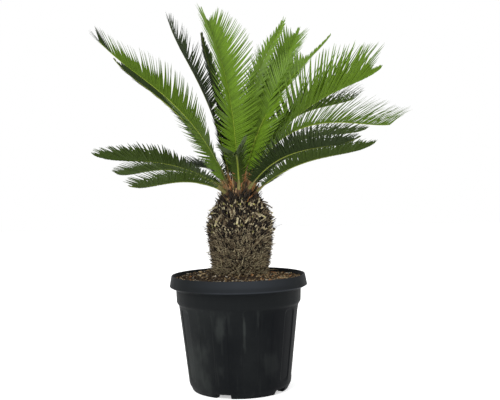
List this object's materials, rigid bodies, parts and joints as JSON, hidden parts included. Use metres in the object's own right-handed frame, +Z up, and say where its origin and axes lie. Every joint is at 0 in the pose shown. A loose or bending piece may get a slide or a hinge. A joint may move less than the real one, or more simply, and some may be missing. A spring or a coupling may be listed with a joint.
{
  "type": "potted sago palm",
  "caption": "Sago palm with a crown of arching feathered fronds on a scaly egg-shaped trunk, growing in a round black nursery pot.",
  "frame": {"origin": "centre of the pot's flat underside, on the floor it stands on", "axes": "+Z up; +X to the plant's right and -Y to its front, as the picture shows it"},
  "size_m": [0.7621, 0.9113, 1.007],
  "materials": {
    "pot_plastic": "matte charcoal-black moulded plastic, lightly dusted",
    "potting_soil": "loose brown bark and coir chips",
    "trunk_scales": "rough dry leaf-base scales with pale cut ends and loose fibres",
    "bud_felt": "rust-brown felted bud scales",
    "frond_green": "leathery green leaflets with a soft gloss"
  },
  "bodies": {
    "root": {"pot": "pot_plastic", "soil": "potting_soil", "trunk": "trunk_scales", "crown_base": "bud_felt", "frond_01": "frond_green", "frond_02": "frond_green", "frond_03": "frond_green", "frond_04": "frond_green", "frond_05": "frond_green", "frond_06": "frond_green", "frond_07": "frond_green", "frond_08": "frond_green", "frond_09": "frond_green", "frond_10": "frond_green", "frond_11": "frond_green", "frond_12": "frond_green", "frond_13": "frond_green", "frond_14": "frond_green", "frond_15": "frond_green", "frond_16": "frond_green", "frond_17": "frond_green", "frond_18": "frond_green", "frond_19": "frond_green", "frond_20": "frond_green", "frond_21": "frond_green", "frond_22": "frond_green", "frond_23": "frond_green", "frond_24": "frond_green"}
  },
  "joints": []
}
